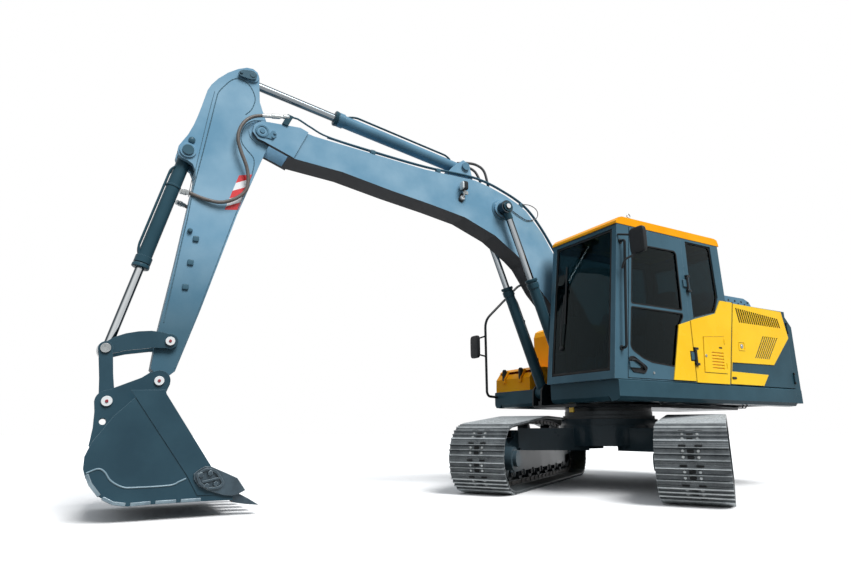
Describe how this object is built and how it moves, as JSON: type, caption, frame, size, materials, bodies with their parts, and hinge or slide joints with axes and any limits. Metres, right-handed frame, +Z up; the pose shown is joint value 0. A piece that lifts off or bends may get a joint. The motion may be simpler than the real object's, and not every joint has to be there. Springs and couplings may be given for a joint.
{
  "type": "crawler excavator",
  "caption": "Tracked hydraulic excavator with a turning upper structure, a cab with a hinged door, a jointed boom, arm and bucket with their cylinders, and hinged side doors, hood and tool box.",
  "frame": {"origin": "On the ground, on the slew axis, between the tracks.", "axes": "+X forward of the upper structure along the boom, +Y to the cab side, +Z up."},
  "size_m": [8.0027, 4.2514, 4.1368],
  "materials": {
    "blue_paint": "semi_gloss",
    "yellow_paint": "gloss",
    "track_steel": "matte",
    "dark_steel": "semi_gloss",
    "chrome_rod": "polished",
    "tinted_glass": "gloss",
    "dark_plastic": "matte",
    "seat_fabric": "matte",
    "hose_rubber": "matte",
    "bucket_steel": "semi_gloss"
  },
  "bodies": {
    "undercarriage": {"car_body": "blue_paint", "slew_ring": "track_steel", "track_frames": "blue_paint", "sprockets": "dark_steel", "idlers": "dark_steel", "rollers": "dark_steel", "travel_motors": "blue_paint", "track_left": "track_steel", "track_right": "track_steel"},
    "upper": {"main_frame": "blue_paint", "deck_skirts": "blue_paint", "cab_frame": "blue_paint", "cab_roof": "yellow_paint", "cab_glass": "tinted_glass", "cab_side_panel": "yellow_paint", "operator_seat": "seat_fabric", "control_consoles": "dark_plastic", "counterweight": "blue_paint", "engine_block": "dark_steel", "cooling_pack": "dark_steel", "fuel_tank": "yellow_paint", "tool_box": "yellow_paint", "bay_frame": "blue_paint", "handrail": "dark_steel", "mirrors": "dark_plastic"},
    "cab_door": {"cab_door": "blue_paint", "door_glass": "tinted_glass", "door_panel": "yellow_paint"},
    "filter_cover": {"filter_cover": "yellow_paint"},
    "side_door_left": {"side_door_left": "blue_paint", "side_trim_left": "yellow_paint"},
    "side_door_right": {"side_door_right": "yellow_paint"},
    "hood": {"engine_hood": "blue_paint", "exhaust_pipe": "dark_steel"},
    "tool_box_lid": {"tool_box_lid": "yellow_paint"},
    "boom": {"boom": "blue_paint", "boom_pipes": "dark_steel", "work_lamp": "dark_plastic"},
    "boom_barrels": {"boom_barrels": "blue_paint"},
    "boom_rods": {"boom_rods": "chrome_rod"},
    "arm": {"arm": "blue_paint", "arm_hoses": "hose_rubber"},
    "arm_barrel": {"arm_barrel": "blue_paint"},
    "arm_rod": {"arm_rod": "chrome_rod"},
    "bucket": {"bucket": "bucket_steel", "bucket_teeth": "track_steel"},
    "rocker_links": {"rocker_links": "blue_paint"},
    "bucket_link": {"bucket_link": "blue_paint"},
    "bucket_barrel": {"bucket_barrel": "blue_paint"},
    "bucket_rod": {"bucket_rod": "chrome_rod"}
  },
  "joints": [
    {"name": "slew", "type": "hinge", "parent": "undercarriage", "child": "upper", "pos_m": [0, 0, 0.865], "axis": [0, 0, 1], "continuous": true},
    {"name": "boom_lift", "type": "hinge", "parent": "upper", "child": "boom", "pos_m": [0.195, -0.07, 1.651], "axis": [0, -1, 0], "range_deg": [-63, 38]},
    {"name": "arm_crowd", "type": "hinge", "parent": "boom", "child": "arm", "pos_m": [4.4437, -0.07, 3.4606], "axis": [0, 1, 0], "range_deg": [-70, 45]},
    {"name": "bucket_curl", "type": "hinge", "parent": "arm", "child": "bucket", "pos_m": [5.1097, -0.07, 1.026], "axis": [0, 1, 0], "range_deg": [-90, 80]},
    {"name": "cab_door_hinge", "type": "hinge", "parent": "upper", "child": "cab_door", "pos_m": [-0.056, 1.269, 1.9], "axis": [0, 0, 1], "range_deg": [0, 165]},
    {"name": "filter_cover_hinge", "type": "hinge", "parent": "upper", "child": "filter_cover", "pos_m": [-0.586, 1.263, 1.46], "axis": [0, 0, -1], "range_deg": [-100, 0]},
    {"name": "side_door_left_hinge", "type": "hinge", "parent": "upper", "child": "side_door_left", "pos_m": [-1.888, 1.258, 1.6], "axis": [0, 0, -1], "range_deg": [-100, 0]},
    {"name": "side_door_right_hinge", "type": "hinge", "parent": "upper", "child": "side_door_right", "pos_m": [-1.888, -1.258, 1.6], "axis": [0, 0, 1], "range_deg": [-100, 0]},
    {"name": "hood_hinge", "type": "hinge", "parent": "upper", "child": "hood", "pos_m": [-0.85, 0, 2.106], "axis": [0, -1, 0], "range_deg": [-55, 0]},
    {"name": "tool_box_lid_hinge", "type": "hinge", "parent": "upper", "child": "tool_box_lid", "pos_m": [0.386, -0.88, 1.445], "axis": [0, 1, 0], "range_deg": [-80, 0]},
    {"name": "boom_barrel_tilt", "type": "hinge", "parent": "upper", "child": "boom_barrels", "pos_m": [0.745, -0.07, 1.095], "axis": [0, -1, 0], "range_deg": [-62, 40]},
    {"name": "boom_rod_slide", "type": "slide", "parent": "boom_barrels", "child": "boom_rods", "axis": [0.3734, 0, 0.9277], "range_m": [-0.75, 0.46]},
    {"name": "arm_barrel_tilt", "type": "hinge", "parent": "boom", "child": "arm_barrel", "pos_m": [2.06, -0.07, 3.6649], "axis": [0, 1, 0], "range_deg": [-6, 6]},
    {"name": "arm_rod_slide", "type": "slide", "parent": "arm_barrel", "child": "arm_rod", "axis": [0.9888, 0, 0.1492], "range_m": [-0.68, 0.45]},
    {"name": "bucket_barrel_tilt", "type": "hinge", "parent": "arm", "child": "bucket_barrel", "pos_m": [5.0803, -0.07, 3.1154], "axis": [0, 1, 0], "range_deg": [-6, 6]},
    {"name": "bucket_rod_slide", "type": "slide", "parent": "bucket_barrel", "child": "bucket_rod", "axis": [0.23, 0, -0.9732], "range_m": [-0.45, 0.42]},
    {"name": "rocker_tilt", "type": "hinge", "parent": "arm", "child": "rocker_links", "pos_m": [5.0548, -0.07, 1.3594], "axis": [0, 1, 0], "range_deg": [-64, 58]},
    {"name": "bucket_link_tilt", "type": "hinge", "parent": "bucket", "child": "bucket_link", "pos_m": [5.4607, -0.07, 0.858], "axis": [0, 1, 0], "range_deg": [-58, 64]}
  ],
  "couplings": [
    {"joint": "boom_barrel_tilt", "follows": "boom_lift", "ratio": 0.93},
    {"joint": "boom_rod_slide", "follows": "boom_lift", "m_per_rad": 0.665},
    {"joint": "arm_barrel_tilt", "follows": "arm_crowd", "ratio": 0.0323},
    {"joint": "arm_rod_slide", "follows": "arm_crowd", "m_per_rad": 0.5293},
    {"joint": "bucket_barrel_tilt", "follows": "bucket_curl", "ratio": 0.03},
    {"joint": "bucket_rod_slide", "follows": "bucket_curl", "m_per_rad": 0.27},
    {"joint": "rocker_tilt", "follows": "bucket_curl", "ratio": 0.66},
    {"joint": "bucket_link_tilt", "follows": "bucket_curl", "ratio": -0.66}
  ]
}
